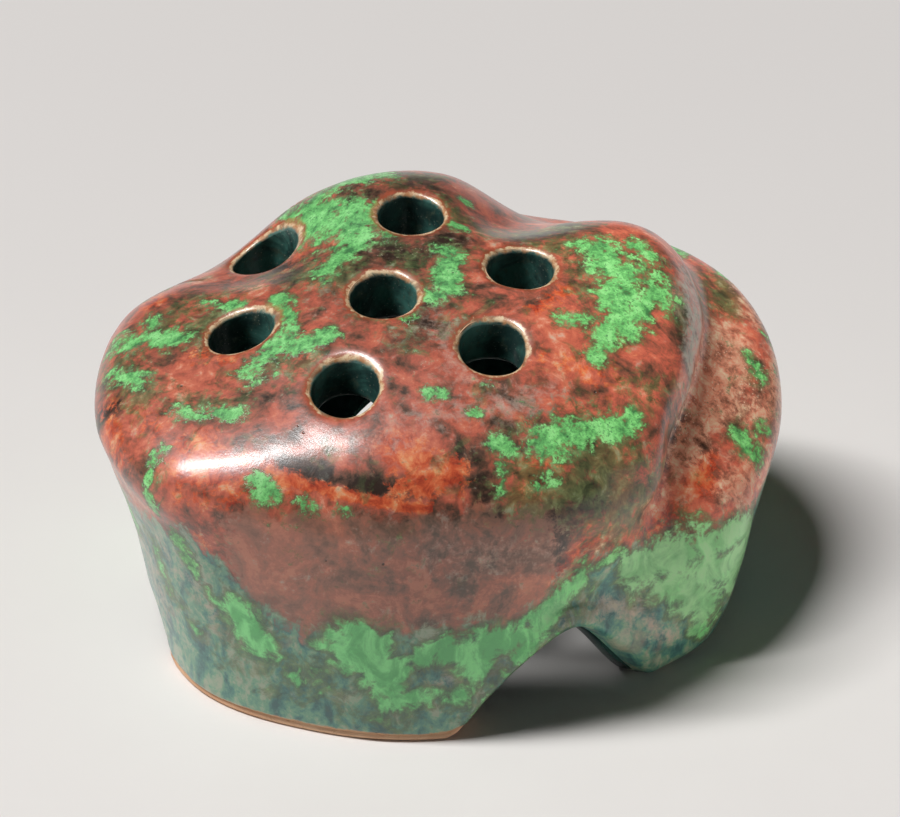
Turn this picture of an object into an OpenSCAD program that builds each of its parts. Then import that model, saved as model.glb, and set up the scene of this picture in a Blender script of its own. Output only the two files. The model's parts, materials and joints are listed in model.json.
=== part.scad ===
// Flower frog: a hand-built, glazed ceramic dome that holds flower stems upright in a bowl.
// The body is hollow and open underneath, stands on three feet between three arches, and
// has seven upright stem holes. Every node is one real layer of the fired piece.
// +Z is up, -Y is the front, and the origin is on the rest surface under the middle of the
// overall box.

/* [Overall] */
// Width over the left shoulder and the right lobe, which every outline size follows
overall_w = 105.8; // [95:0.1:120]

/* [Clay and glaze] */
// Thickness of the glaze coat on the outside
coat_t = 0.6; // [0.4:0.1:0.8]
// Thickness of the glaze coat in the hollow
cavity_coat_t = 0.5; // [0.3:0.1:0.7]
// Rounding of the foot's edges and the arches' lips
edge_r = 1.2; // [0.8:0.1:1.6]

/* [Stem holes] */
// Clear diameter of a glazed stem hole
hole_d = 10; // [9:0.5:10.5]
// Thickness of the glaze that lines a stem hole
lining_t = 0.4; // [0.3:0.1:0.5]

/* [Arches] */
// Height of the arch at the front right
front_arch_h = 14; // [10:1:16]
// Height of the arch at the back
back_arch_h = 16; // [10:1:17]
// Height of the arch at the left
left_arch_h = 12; // [8:1:14]

/* [Facets] */
// Number of columns round the body
columns = 72; // [48:12:72]

/* [Hidden] */

// The outline stations are drawn for this overall width.
drawn_w = 105.8;
size = overall_w / drawn_w;

// Middle of the overall box, measured from the axis that the stations turn about
middle = size * [0.65, 8.3, 0];

// Each station of the outside is an azimuth and eight points [radius, height]: foot, low
// wall, belly, upper belly, groove, cap shoulder, cap edge and crown. The groove runs up
// round the right side and parts the cap from the lower lobe behind it.
OUTSIDE = [
    [-150, [43.3, 0], [44, 11], [45.2, 22], [47.2, 31], [48.8, 37.8], [44, 43.2], [32, 47.7], [16, 52.7]],
    [-120, [38.2, 0], [38.4, 11], [38.6, 21], [38.6, 29.5], [37.4, 37], [34, 42.5], [27, 47.3], [14, 51.9]],
    [-90, [35.3, 0], [35, 11], [34.5, 20], [33.8, 28.5], [32.8, 36.5], [30, 42.2], [24.3, 46.9], [13, 51.6]],
    [-65, [34.5, 0], [33.8, 13], [33.5, 20], [33.5, 28], [33.2, 35.3], [30.6, 41], [25.2, 45.9], [13, 51.7]],
    [-45, [35.5, 0], [34.3, 13], [33.5, 19], [34.3, 26.5], [36, 33.8], [33.8, 39.6], [28.3, 44.8], [14, 52.1]],
    [-30, [39, 0], [39.5, 8], [38.5, 15], [37, 22], [36, 29], [37.5, 35], [33.5, 42.3], [15, 52.6]],
    [-15, [43.3, 0], [45.5, 8], [46.5, 17], [45, 25.5], [36, 34], [36.5, 39], [33, 45.5], [16, 53.2]],
    [0, [44.8, 0], [47, 9], [49.5, 19], [50, 28.5], [38.5, 37], [38.5, 42], [34.5, 48], [17, 53.8]],
    [20, [45, 0], [49.5, 10], [55.3, 23], [55.6, 34.8], [44.8, 41], [42.5, 46.5], [36, 52], [17, 54.7]],
    [40, [44, 0], [50, 10], [56, 25], [57, 38], [49.3, 43.6], [43.5, 50.8], [35, 54.5], [17, 55.4]],
    [68, [42.5, 0], [47, 11], [51.5, 25], [52, 39.2], [45.2, 44], [39.5, 47.5], [31, 51.2], [16, 56]],
    [90, [42, 0], [46, 12], [51, 24], [52, 36], [49, 45], [42.5, 52.7], [31, 56.5], [16, 56.2]],
    [115, [42, 0], [46, 12], [51, 24], [52, 34], [49, 43], [43, 51.8], [33, 56], [16, 56]],
    [138, [43, 0], [46, 11], [50, 22], [51, 31.5], [49.3, 38.8], [44, 44.4], [34, 48.2], [17, 55.3]],
    [160, [43.5, 0], [46, 11], [49, 22], [52, 33], [52.3, 39.8], [46.5, 45.3], [33, 49.2], [16, 54.3]]
];
outside_top = 54.4;

// Each station of the hollow is an azimuth and four points [radius, height]: the foot's
// inner edge, the wall, the shoulder and the roof's edge.
HOLLOW = [
    [-140, [35.5, 0], [36.5, 20], [36.5, 33], [22, 43.5]],
    [-90, [28.5, 0], [28.5, 20], [27, 33], [17, 42.5]],
    [-50, [27.5, 0], [27, 18], [27.5, 30], [18.5, 42.5]],
    [-20, [34, 0], [31.5, 18], [28.5, 31], [20, 43.5]],
    [0, [37.5, 0], [39, 15], [31.5, 32], [22, 45]],
    [30, [38, 0], [46, 21], [38, 36], [24, 47]],
    [68, [36, 0], [43, 22], [36.5, 38], [22, 45.5]],
    [100, [35.5, 0], [43, 22], [39.5, 38.5], [22, 48]],
    [138, [36.5, 0], [42.5, 22], [40, 33.5], [24, 44.5]],
    [180, [37, 0], [42, 22], [42.5, 34], [24, 45]]
];
hollow_top = 47.5;

// Each arch is the azimuth of its top, its half widths clockwise and anticlockwise, and
// its height.
ARCHES = [
    [-53, 34, 23, front_arch_h],
    [98, 32, 32, back_arch_h],
    [181, 20, 20, left_arch_h]
];
arch_roundness = 1.25;

// Middles of the seven stem holes: centre, front, front right, right, back, back left, left.
HOLES = [[-8, 4], [-13.5, -14.5], [8.3, -7], [12.7, 11], [-4, 24], [-26.5, 27], [-29.4, 2]];
bore_bottom = 29;
bore_top = 64;
bore_r = hole_d / 2 + lining_t;

rows_per_span = 3;
hollow_rows_per_span = 4;
bare_on_foot = 0.09;
bare_on_arch = 0.02;
lip_clear = 3;
step = 360 / columns;
AZIMUTHS = [for (i = [0:columns - 1]) -180 + i * step];

// Height of the arches above the rest surface at an azimuth
function turn(az) = (az + 540) % 360 - 180;
function arch_share(a, az) = let (d = turn(az - a[0])) d < 0 ? -d / a[1] : d / a[2];
function arch_h(a, az) = let (u = arch_share(a, az)) u < 1 ? a[3] * pow(cos(90 * u), arch_roundness) : 0;
function lift(az) = size * max([for (a = ARCHES) arch_h(a, az)]);

// Smooth curve through the stations, round the axis
function wrap(i, n) = (i % n + n) % n;
function station_az(t, i) = t[wrap(i, len(t))][0] + 360 * floor(i / len(t));
function station_pt(t, i, k) = size * t[wrap(i, len(t))][k + 1];
function span_at(t, az) = max([for (i = [-1:len(t) - 1]) if (station_az(t, i) <= az) i]);
function lean(t, i, k) = (station_pt(t, i + 1, k) - station_pt(t, i - 1, k))
    / (station_az(t, i + 1) - station_az(t, i - 1));
function eased(p, m, q, n, u) = (2 * u ^ 3 - 3 * u ^ 2 + 1) * p + (u ^ 3 - 2 * u ^ 2 + u) * m
    + (3 * u ^ 2 - 2 * u ^ 3) * q + (u ^ 3 - u ^ 2) * n;
function knot(t, az, k) = let (
        i = span_at(t, az),
        h = station_az(t, i + 1) - station_az(t, i),
        u = (az - station_az(t, i)) / h)
    eased(station_pt(t, i, k), h * lean(t, i, k), station_pt(t, i + 1, k), h * lean(t, i + 1, k), u);

// Smooth curve up the wall at one azimuth, from the edge over the foot to the top
function lifted(p, low) = [p[0], max(p[1], low)];
function knots(t, az, top) = let (
        count = len(t[0]) - 1,
        foot = [knot(t, az, 0)[0], lift(az) + edge_r],
        low = lifted(knot(t, az, 1), foot[1] + lip_clear),
        rest = [for (k = [2:count - 1]) knot(t, az, k)],
        across = knot(t, turn(az + 180), count - 1))
    concat([2 * foot - low, foot, low], rest, [[0, size * top], [-across[0], across[1]]]);
function catmull(a, b, c, d, u) = (2 * b + (c - a) * u + (2 * a - 5 * b + 4 * c - d) * u ^ 2
    + (3 * b - a - 3 * c + d) * u ^ 3) / 2;
function on_wall(ks, s) = let (i = floor(s)) catmull(ks[i], ks[i + 1], ks[i + 2], ks[i + 3], s - i);
function around(p, az) = [p[0] * cos(az), p[0] * sin(az), p[1]];

// Rows of a wall: the edge over the foot, the glaze line, then even steps up to the top
function glaze_line(az) = lift(az) > 0 ? bare_on_arch : bare_on_foot;
function row_s(i, az, per_span) = i == 0 ? 0 : i == 1 ? glaze_line(az) : (i - 1) / per_span;
function wall_rows(t, top, per_span) = let (
        all_knots = [for (az = AZIMUTHS) knots(t, az, top)],
        row_count = (len(t[0]) - 1) * per_span + 1)
    [for (i = [0:row_count - 1]) [for (j = [0:columns - 1])
        around(on_wall(all_knots[j], row_s(i, AZIMUTHS[j], per_span)), AZIMUTHS[j])]];

// The same rows moved inward along the wall's own normals
function unit(v) = v / norm(v);
function normal_at(rows, i, j) = unit(cross(
    rows[i][(j + 1) % columns] - rows[i][(j + columns - 1) % columns],
    rows[min(i + 1, len(rows) - 1)][j] - rows[max(i - 1, 0)][j]));
function inward(rows, t) = [for (i = [0:len(rows) - 1]) [for (j = [0:columns - 1])
    rows[i][j] - t * normal_at(rows, i, j)]];
function above(rows, first) = [for (i = [first:len(rows) - 1]) rows[i]];
function backward(rows) = [for (i = [len(rows) - 1:-1:0]) rows[i]];

// Rounded rim under the wall, from its outer edge to its inner edge
function rim_pt(p, az, in, z) = [p[0] - in * cos(az), p[1] - in * sin(az), z];
function rim_row(row, in, drop) = [for (j = [0:columns - 1])
    rim_pt(row[j], AZIMUTHS[j], in, lift(AZIMUTHS[j]) + edge_r - drop)];
corner = 0.7;
function rim(outer, inner) = [
    rim_row(outer, (1 - corner) * edge_r, corner * edge_r),
    rim_row(outer, edge_r, edge_r),
    rim_row(inner, -edge_r, edge_r),
    rim_row(inner, (corner - 1) * edge_r, corner * edge_r)];

glaze_face = wall_rows(OUTSIDE, outside_top, rows_per_span);
clay_face = inward(glaze_face, coat_t);
hollow_face = wall_rows(HOLLOW, hollow_top, hollow_rows_per_span);
hollow_glaze_face = inward(hollow_face, cavity_coat_t);
glaze_peak = [0, 0, size * outside_top];
clay_peak = glaze_peak - [0, 0, coat_t];
hollow_peak = [0, 0, size * hollow_top];
hollow_glaze_peak = hollow_peak - [0, 0, cavity_coat_t];

// Closed solid through a stack of rows, from a point above the first to one below the last
module stacked(rows, first, last) {
    n = len(rows);
    points = concat([for (row = rows) each row], [first, last]);
    function at(i, j) = i * columns + j % columns;
    polyhedron(points, concat(
        [for (j = [0:columns - 1]) [n * columns, at(0, j + 1), at(0, j)]],
        [for (i = [0:n - 2], j = [0:columns - 1]) [at(i, j), at(i, j + 1), at(i + 1, j + 1)]],
        [for (i = [0:n - 2], j = [0:columns - 1]) [at(i, j), at(i + 1, j + 1), at(i + 1, j)]],
        [for (j = [0:columns - 1]) [n * columns + 1, at(n - 1, j), at(n - 1, j + 1)]]));
}

// Moves a layer from the stations' axis to the part's own frame
module placed() {
    translate(-middle) children();
}

// Bores of the seven stem holes, through the clay and both coats
module bores() {
    for (hole = HOLES)
        translate([size * hole[0], size * hole[1], bore_bottom])
            cylinder(r = bore_r, h = bore_top - bore_bottom, $fn = 48);
}

// Fired clay shell with its feet, arches and bores
module clay_body() {
    color("burlywood") placed() difference() {
        stacked(concat(backward(clay_face), rim(clay_face[0], hollow_face[0]), hollow_face),
            clay_peak, hollow_peak);
        bores();
    }
}

// Red and green glaze coat on the outside, from just above the foot
module outer_glaze() {
    color("sienna") placed() difference() {
        stacked(concat(backward(above(glaze_face, 1)), above(clay_face, 1)), glaze_peak, clay_peak);
        bores();
    }
}

// Dark teal glaze coat on the walls and roof of the hollow
module cavity_glaze() {
    color("darkslategray") placed() difference() {
        stacked(concat(backward(above(hollow_face, 1)), above(hollow_glaze_face, 1)),
            hollow_peak, hollow_glaze_peak);
        bores();
    }
}

// Glaze lining of one stem hole, flush with the outside and with the hollow's roof
module stem_hole_glaze(hole) {
    color("teal") placed() intersection() {
        stacked(concat(backward(glaze_face), hollow_glaze_face), glaze_peak, hollow_glaze_peak);
        translate([size * hole[0], size * hole[1], bore_bottom]) difference() {
            cylinder(r = bore_r, h = bore_top - bore_bottom, $fn = 48);
            translate([0, 0, -1])
                cylinder(r = hole_d / 2, h = bore_top - bore_bottom + 2, $fn = 48);
        }
    }
}

clay_body();
outer_glaze();
cavity_glaze();
stem_hole_glaze(HOLES[0]);  // stem_hole_glaze_centre
stem_hole_glaze(HOLES[1]);  // stem_hole_glaze_front
stem_hole_glaze(HOLES[2]);  // stem_hole_glaze_front_right
stem_hole_glaze(HOLES[3]);  // stem_hole_glaze_right
stem_hole_glaze(HOLES[4]);  // stem_hole_glaze_back
stem_hole_glaze(HOLES[5]);  // stem_hole_glaze_back_left
stem_hole_glaze(HOLES[6]);  // stem_hole_glaze_left
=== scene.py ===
"""Looks of a hand-built, glazed ceramic flower frog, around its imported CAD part.

The glazed skin is one smooth surface: it comes up over the lips of the feet, round the lobed
cap, over the seven rims and down the stem holes. It is then split into the same layers as the
part: the clay shell, the coat outside, the coat in the hollow and a lining for each hole.
Lengths are in millimetres until the meshes are made.
"""
import json
import math

import bpy
import numpy as np
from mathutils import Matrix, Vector
from mathutils.geometry import delaunay_2d_cdt


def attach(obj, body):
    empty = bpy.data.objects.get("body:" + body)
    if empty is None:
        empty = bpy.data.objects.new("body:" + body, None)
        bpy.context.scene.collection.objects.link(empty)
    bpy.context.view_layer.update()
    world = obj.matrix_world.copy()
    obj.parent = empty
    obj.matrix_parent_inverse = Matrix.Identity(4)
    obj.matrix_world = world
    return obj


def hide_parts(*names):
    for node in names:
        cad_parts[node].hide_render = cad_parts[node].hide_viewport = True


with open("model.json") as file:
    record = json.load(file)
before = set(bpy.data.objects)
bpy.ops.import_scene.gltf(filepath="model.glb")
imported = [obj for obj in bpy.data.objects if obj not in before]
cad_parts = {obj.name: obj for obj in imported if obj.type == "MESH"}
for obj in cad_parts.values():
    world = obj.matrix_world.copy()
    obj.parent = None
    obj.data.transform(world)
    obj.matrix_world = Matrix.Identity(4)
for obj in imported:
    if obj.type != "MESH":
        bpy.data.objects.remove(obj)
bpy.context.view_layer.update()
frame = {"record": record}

MM = 0.001

# ---------- the object's own shape
# An azimuth and eight points [radius, height] up the outside, about the stations' axis.
OUTSIDE = [
    [-150, [43.3, 0], [44, 11], [45.2, 22], [47.2, 31], [48.8, 37.8], [44, 43.2], [32, 47.7], [16, 52.7]],
    [-120, [38.2, 0], [38.4, 11], [38.6, 21], [38.6, 29.5], [37.4, 37], [34, 42.5], [27, 47.3], [14, 51.9]],
    [-90, [35.3, 0], [35, 11], [34.5, 20], [33.8, 28.5], [32.8, 36.5], [30, 42.2], [24.3, 46.9], [13, 51.6]],
    [-65, [34.5, 0], [33.8, 13], [33.5, 20], [33.5, 28], [33.2, 35.3], [30.6, 41], [25.2, 45.9], [13, 51.7]],
    [-45, [35.5, 0], [34.3, 13], [33.5, 19], [34.3, 26.5], [36, 33.8], [33.8, 39.6], [28.3, 44.8], [14, 52.1]],
    [-30, [39, 0], [39.5, 8], [38.5, 15], [37, 22], [36, 29], [37.5, 35], [33.5, 42.3], [15, 52.6]],
    [-15, [43.3, 0], [45.5, 8], [46.5, 17], [45, 25.5], [36, 34], [36.5, 39], [33, 45.5], [16, 53.2]],
    [0, [44.8, 0], [47, 9], [49.5, 19], [50, 28.5], [38.5, 37], [38.5, 42], [34.5, 48], [17, 53.8]],
    [20, [45, 0], [49.5, 10], [55.3, 23], [55.6, 34.8], [44.8, 41], [42.5, 46.5], [36, 52], [17, 54.7]],
    [40, [44, 0], [50, 10], [56, 25], [57, 38], [49.3, 43.6], [43.5, 50.8], [35, 54.5], [17, 55.4]],
    [68, [42.5, 0], [47, 11], [51.5, 25], [52, 39.2], [45.2, 44], [39.5, 47.5], [31, 51.2], [16, 56]],
    [90, [42, 0], [46, 12], [51, 24], [52, 36], [49, 45], [42.5, 52.7], [31, 56.5], [16, 56.2]],
    [115, [42, 0], [46, 12], [51, 24], [52, 34], [49, 43], [43, 51.8], [33, 56], [16, 56]],
    [138, [43, 0], [46, 11], [50, 22], [51, 31.5], [49.3, 38.8], [44, 44.4], [34, 48.2], [17, 55.3]],
    [160, [43.5, 0], [46, 11], [49, 22], [52, 33], [52.3, 39.8], [46.5, 45.3], [33, 49.2], [16, 54.3]],
]
OUTSIDE_TOP = 54.4
HOLLOW = [
    [-140, [35.5, 0], [36.5, 20], [36.5, 33], [22, 43.5]],
    [-90, [28.5, 0], [28.5, 20], [27, 33], [17, 42.5]],
    [-50, [27.5, 0], [27, 18], [27.5, 30], [18.5, 42.5]],
    [-20, [34, 0], [31.5, 18], [28.5, 31], [20, 43.5]],
    [0, [37.5, 0], [39, 15], [31.5, 32], [22, 45]],
    [30, [38, 0], [46, 21], [38, 36], [24, 47]],
    [68, [36, 0], [43, 22], [36.5, 38], [22, 45.5]],
    [100, [35.5, 0], [43, 22], [39.5, 38.5], [22, 48]],
    [138, [36.5, 0], [42.5, 22], [40, 33.5], [24, 44.5]],
    [180, [37, 0], [42, 22], [42.5, 34], [24, 45]],
]
HOLLOW_TOP = 47.5
# Azimuth of the top, half widths clockwise and anticlockwise, and height of each arch
ARCHES = [(-53, 34, 23, 14), (98, 32, 32, 16), (181, 20, 20, 12)]
ARCH_ROUNDNESS = 1.25
COAT_T = 0.6
CAVITY_COAT_T = 0.5
LINING_T = 0.4
FOOT_EDGE_R = 1.2
LIP_R = 2.8
LIP_R_INSIDE = 2.2
LIP_ROWS = 14
LIFT_FOR_FULL_LIP = 5.0
LEAST_FIRST_STEP = 3.0
# The right foot is glazed right under: its middle azimuth, half width and fade, in degrees
GLAZED_FOOT_MIDDLE = 12
GLAZED_FOOT_HALF = 70
GLAZED_FOOT_FADE = 12
BORE_BOTTOM = 29.0
# Knots up the lofts: the cap and the roof lie above these, the foot and the walls below these
CAP_FROM = 4.2
ROOF_FROM = 1.8
FOOT_WITHIN = 1.6
WALL_WITHIN = 6.5


def smooth(x):
    x = np.clip(x, 0, 1)
    return x * x * (3 - 2 * x)


def around(table, knot, part, azimuths):
    """Smooth periodic curve through one knot's radius (part 0) or height (part 1)."""
    at = np.array([row[0] for row in table], float)
    value = np.array([row[knot + 1][part] for row in table], float)
    at = np.concatenate([at[-2:] - 360, at, at[:2] + 360])
    value = np.concatenate([value[-2:], value, value[:2]])
    lean = np.gradient(value)
    lean[1:-1] = (value[2:] - value[:-2]) / (at[2:] - at[:-2])
    wrapped = (np.asarray(azimuths, float) - at[1]) % 360 + at[1]
    i = np.clip(np.searchsorted(at, wrapped, side="right") - 1, 1, len(at) - 3)
    h = at[i + 1] - at[i]
    u = (wrapped - at[i]) / h
    return ((2 * u**3 - 3 * u**2 + 1) * value[i] + (u**3 - 2 * u**2 + u) * h * lean[i]
            + (3 * u**2 - 2 * u**3) * value[i + 1] + (u**3 - u**2) * h * lean[i + 1])


def lift(azimuths):
    """Height of the arches' lips above the rest surface."""
    high = np.zeros_like(np.asarray(azimuths, float))
    for middle, clockwise, anticlockwise, height in ARCHES:
        away = (azimuths - middle + 180) % 360 - 180
        share = np.clip(np.where(away < 0, -away / clockwise, away / anticlockwise), 0, 1)
        curve = np.abs(np.cos(share * math.pi / 2)) ** ARCH_ROUNDNESS
        high = np.maximum(high, height * curve * (share < 1))
    return high


def knots(table, top, azimuths):
    """Radii and heights of the wall's knots at each azimuth, with one more past each end."""
    count = len(table[0]) - 1
    r = [around(table, k, 0, azimuths) for k in range(count)]
    z = [around(table, k, 1, azimuths) for k in range(count)]
    z[0] = lift(azimuths) + FOOT_EDGE_R
    z[1] = np.maximum(z[1], z[0] + LEAST_FIRST_STEP)
    across_r = around(table, count - 1, 0, azimuths + 180)
    across_z = around(table, count - 1, 1, azimuths + 180)
    r = [2 * r[0] - r[1]] + r + [0 * azimuths, -across_r]
    z = [2 * z[0] - z[1]] + z + [0 * azimuths + top, across_z]
    return np.stack(r), np.stack(z)


def along(stack, s):
    """Catmull-Rom curve through the knots, at s knots from the foot."""
    s = np.clip(s, 0, len(stack) - 3 - 1e-9)
    i = np.floor(s).astype(int)
    u = s - i
    a, b, c, d = (np.take_along_axis(stack, (i + k)[None], 0)[0] for k in range(4))
    return (2 * b + (c - a) * u + (2 * a - 5 * b + 4 * c - d) * u**2 + (3 * b - a - 3 * c + d) * u**3) / 2


def halved(low, high, goes_up, steps=30):
    """Bisection: goes_up(middle) is true where the answer lies above the middle."""
    for _ in range(steps):
        mid = (low + high) / 2
        up = goes_up(mid)
        low, high = np.where(up, mid, low), np.where(up, high, mid)
    return low


def height_over(table, top, x, y, lowest):
    """Height of a loft over plan positions, looked for from that knot up."""
    target = np.hypot(x, y)
    r, z = knots(table, top, np.degrees(np.arctan2(y, x)))
    low = np.zeros_like(target) + lowest
    high = np.zeros_like(target) + len(table[0]) - 1
    return along(z, halved(low, high, lambda s: along(r, s) > target, 40))


def cap_height(x, y):
    return height_over(OUTSIDE, OUTSIDE_TOP, x, y, CAP_FROM)


def roof_height(x, y):
    """Underside of the roof, down to where the lowest holes run out into the wall."""
    roof = height_over(HOLLOW, HOLLOW_TOP, x, y, ROOF_FROM)
    return np.maximum(roof - 1.2 * CAVITY_COAT_T, BORE_BOTTOM)


# ---------- smooth, seeded unevenness
def waves(points, seed, size, count=9):
    """Sum of sine waves of about that wavelength in every direction, from -1 to 1."""
    rng = np.random.default_rng(seed)
    total = np.zeros(len(points))
    for _ in range(count):
        direction = rng.normal(size=3)
        direction /= np.linalg.norm(direction)
        length = size * rng.uniform(0.7, 1.5)
        total += np.sin(points @ direction * (2 * math.pi / length) + rng.uniform(0, 2 * math.pi))
    return total / count * 1.8


def glazed_foot(azimuths):
    """1 round the right foot, which is glazed right under, and 0 where the clay is left bare."""
    return smooth((GLAZED_FOOT_HALF - np.abs(azimuths - GLAZED_FOOT_MIDDLE)) / GLAZED_FOOT_FADE)


# ---------- the skin's profile
class Profile:
    """Section of the whole skin at each azimuth: down the outside, round the lip, up the hollow."""

    def __init__(self, columns):
        self.az = np.linspace(-180, 180, columns, endpoint=False)
        high = lift(self.az)
        full = np.maximum(smooth(high / LIFT_FOR_FULL_LIP), glazed_foot(self.az))
        lip = FOOT_EDGE_R + (LIP_R - FOOT_EDGE_R) * full
        lip_in = FOOT_EDGE_R + (LIP_R_INSIDE - FOOT_EDGE_R) * full
        outer = self.side(OUTSIDE, OUTSIDE_TOP, high + lip, 8, 240)
        inner = self.side(HOLLOW, HOLLOW_TOP, high + lip_in, 4, 120)
        lip_out = self.turned(outer, high, lip, -1)
        lip_back = self.turned(inner, high, lip_in, 1)
        t = np.linspace(0, 1, LIP_ROWS)[1:-1, None]
        under_r = lip_out[0][-1] * (1 - t) + lip_back[0][-1] * t
        under_z = high + 0 * t
        self.r, self.z = (np.concatenate([up[::-1], lip_up[1:], under, lip_in_up[::-1], inside[1:]])
                          for up, lip_up, under, lip_in_up, inside
                          in zip(outer, lip_out, (under_r, under_z), lip_back, inner))
        self.n_out = len(outer[0])
        self.n_lip = len(lip_out[0]) - 1
        self.n_under = len(t)
        self.n_back = len(lip_back[0])
        a = np.radians(self.az)
        self.points = np.stack([self.r * np.cos(a), self.r * np.sin(a), self.z], -1)
        across = np.roll(self.points, -1, 1) - np.roll(self.points, 1, 1)
        up = np.gradient(self.points, axis=0)
        normal = np.cross(up, across)
        self.normals = normal / (np.linalg.norm(normal, axis=-1, keepdims=True) + 1e-9)
        step = np.linalg.norm(np.diff(self.points, axis=0), axis=-1)
        self.length = np.concatenate([np.zeros((1, columns)), np.cumsum(step, 0)])
        self.full = full
        self.depths()

    def side(self, table, top, start_z, end_s, count):
        """Wall from the height where the lip takes over, up to the top."""
        r, z = knots(table, top, self.az)
        low = np.zeros_like(self.az)
        low = halved(low, low + FOOT_WITHIN, lambda s: along(z, s) < start_z)
        s = low + (end_s - low) * np.linspace(0, 1, count)[:, None]
        return np.array([along(r, row) for row in s]), np.array([along(z, row) for row in s])

    def turned(self, wall_rows, foot_z, radius, way):
        """Rounded lip from the wall's lowest row down to the flat under it."""
        r, z = wall_rows
        tangent_r = r[0] - r[1]
        tangent_z = z[0] - z[1]
        length = np.hypot(tangent_r, tangent_z)
        k = 0.6 * radius
        p0r, p0z = r[0], z[0]
        p1r, p1z = p0r + k * tangent_r / length, p0z + k * tangent_z / length
        p3r, p3z = p0r + way * radius + tangent_r / length * radius * 0.5, foot_z
        p2r, p2z = p3r - way * k, foot_z
        t = np.linspace(0, 1, LIP_ROWS)[:, None]
        a, b, c, d = (1 - t) ** 3, 3 * (1 - t) ** 2 * t, 3 * (1 - t) * t**2, t**3
        return a * p0r + b * p1r + c * p2r + d * p3r, a * p0z + b * p1z + c * p2z + d * p3z

    def depths(self):
        """How far the clay lies under the profile, and how far the glaze stands off it."""
        n = len(self.r)
        self.clay = np.zeros_like(self.r)
        self.face = np.zeros_like(self.r)
        lip_end = self.n_out + self.n_lip
        under_end = lip_end + self.n_under
        for i in range(n):
            if i < self.n_out:
                self.clay[i] = COAT_T
            elif i < lip_end:
                t = (i - self.n_out + 1) / self.n_lip
                self.clay[i] = COAT_T * (self.full + (1 - self.full) * (1 - smooth(1.6 * t)))
            elif i < under_end:
                t = (i - lip_end + 1) / (self.n_under + 1)
                self.clay[i] = COAT_T * self.full * (1 - t)
                self.face[i] = CAVITY_COAT_T * self.full * t
            elif i < under_end + self.n_back:
                t = (i - under_end) / self.n_back
                self.face[i] = CAVITY_COAT_T * (self.full + (1 - self.full) * smooth(1.6 * t - 0.6))
            else:
                self.face[i] = CAVITY_COAT_T

    def at(self, lengths, values):
        """Values of the profile at rows of lengths down each column."""
        columns = range(len(self.az))
        return np.stack([np.interp(lengths[:, j], self.length[:, j], values[:, j]) for j in columns], 1)

    def surface(self, lengths):
        """Points, normals, and the depths of the clay and of the hollow's face, at those lengths."""
        points = np.stack([self.at(lengths, self.points[..., k]) for k in range(3)], -1)
        normals = np.stack([self.at(lengths, self.normals[..., k]) for k in range(3)], -1)
        normals /= np.linalg.norm(normals, axis=-1, keepdims=True) + 1e-9
        return points, normals, self.at(lengths, self.clay)[..., None], self.at(lengths, self.face)[..., None]

    def middle_under(self):
        """Length down each column to the middle of the flat under the foot."""
        return self.length[self.n_out + self.n_lip + self.n_under // 2]


# ---------- where the stem holes are
HOLE_NAMES = ["centre", "front", "front_right", "right", "back", "back_left", "left"]
CENTRE_HOLE = np.array([-8.0, 4.0])
mounts = {m["name"]: m for m in frame["record"]["mounts"]}
hole_places = {n: np.array(mounts["stem_hole_" + n]["pos_m"][:2]) / MM for n in HOLE_NAMES}
STATION_AXIS = np.array([*(CENTRE_HOLE - hole_places["centre"]), 0.0])
HOLES = {n: p + STATION_AXIS[:2] for n, p in hole_places.items()}
HOLE_R = mounts["stem_hole_centre"]["dims"]["r_mm"]
DRILL_R = HOLE_R + LINING_T


# ---------- meshes
def to_part(points):
    """From the stations' axis, in millimetres, to the part's frame, in metres."""
    return (np.asarray(points, float) - STATION_AXIS) * MM


def make_mesh(name, points, faces, normals=None, fields=None):
    """Smooth mesh that never dips below the rest surface, with a float attribute for each field."""
    mesh = bpy.data.meshes.new(name)
    points = np.array(points, float)
    points[:, 2] = np.maximum(points[:, 2], 0)
    mesh.from_pydata(to_part(points).tolist(), [], [tuple(f) for f in faces])
    mesh.validate()
    mesh.polygons.foreach_set("use_smooth", [True] * len(mesh.polygons))
    for field, values in (fields or {}).items():
        layer = mesh.attributes.new(field, "FLOAT", "POINT")
        layer.data.foreach_set("value", np.asarray(values, np.float32))
    mesh.update()
    if normals is not None:
        mesh.normals_split_custom_set_from_vertices([tuple(n) for n in normals])
    obj = bpy.data.objects.new(name, mesh)
    bpy.context.collection.objects.link(obj)
    return obj


def vertex_normals(points, faces):
    """Normals at the points of a mesh of triangles and quads, weighted by area."""
    normals = np.zeros_like(points)
    for size in (3, 4):
        chosen = np.array([f for f in faces if len(f) == size])
        p = points[chosen]
        area = np.cross(p[:, -2] - p[:, 0], p[:, -1] - p[:, size - 3])
        for k in range(size):
            np.add.at(normals, chosen[:, k], area)
    return normals / (np.linalg.norm(normals, axis=1, keepdims=True) + 1e-12)


def closed_layer(name, points, back, faces, normals, fields):
    """Closed solid between a surface and its back, joined along the surface's open edges."""
    used = np.unique(np.concatenate([np.asarray(f) for f in faces]))
    place = -np.ones(len(points), int)
    place[used] = np.arange(len(used))
    n = len(used)
    front = [[int(place[v]) for v in f] for f in faces]
    edges = dict.fromkeys(pair for f in front for pair in zip(f, f[1:] + f[:1]))
    sides = [[b, a, a + n, b + n] for (a, b) in edges if (b, a) not in edges]
    behind = [[v + n for v in reversed(f)] for f in front]
    both = np.concatenate([points[used], back[used]])
    facing = np.concatenate([normals[used], -normals[used]])
    doubled = {k: np.concatenate([v[used], v[used]]) for k, v in fields.items()}
    return make_mesh(name, both, front + behind + sides, facing, doubled)


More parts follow.
